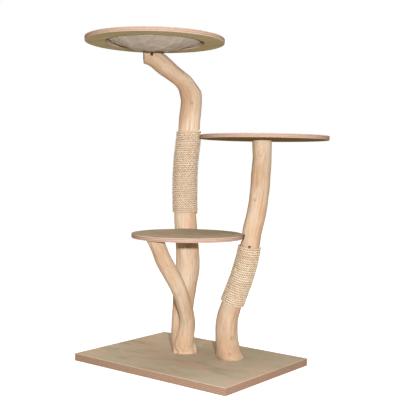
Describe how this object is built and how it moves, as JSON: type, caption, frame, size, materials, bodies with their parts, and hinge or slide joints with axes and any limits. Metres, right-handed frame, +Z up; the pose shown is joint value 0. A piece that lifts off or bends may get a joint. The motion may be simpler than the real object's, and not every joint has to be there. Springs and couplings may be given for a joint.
{
  "type": "cat tree",
  "caption": "Free-standing cat tree of natural branches on a plywood base, with round plywood platforms, a hammock ring on top and sisal rope for scratching.",
  "frame": {"origin": "centre of the base board's underside, on the floor", "axes": "+Z up; +X along the base board's long side; +Y along its short side"},
  "size_m": [0.7835, 0.844, 1.173],
  "materials": {
    "base_ply": "oiled plywood",
    "branch_wood": "peeled and sanded branch",
    "platform_ply": "oiled plywood",
    "canvas": "beige cotton canvas",
    "sisal": "twisted sisal rope",
    "zinc_steel": "zinc-plated screws, washers and staples"
  },
  "bodies": {
    "root": {"base_board": "base_ply", "forked_trunk": "branch_wood", "right_post": "branch_wood", "lower_platform": "platform_ply", "middle_platform": "platform_ply", "top_ring": "platform_ply", "hammock_cloth": "canvas", "hammock_staples": "zinc_steel", "main_rope_wrap": "sisal", "right_rope_wrap": "sisal", "rope_staples": "zinc_steel", "trunk_foot_screws": "zinc_steel", "right_foot_screws": "zinc_steel", "foot_washers": "zinc_steel", "branch_screw": "zinc_steel", "stem_edge_screw": "zinc_steel", "post_edge_screw": "zinc_steel", "trunk_edge_screw": "zinc_steel", "middle_platform_screws": "zinc_steel", "ring_screws": "zinc_steel", "pocket_screw": "zinc_steel"}
  },
  "joints": []
}
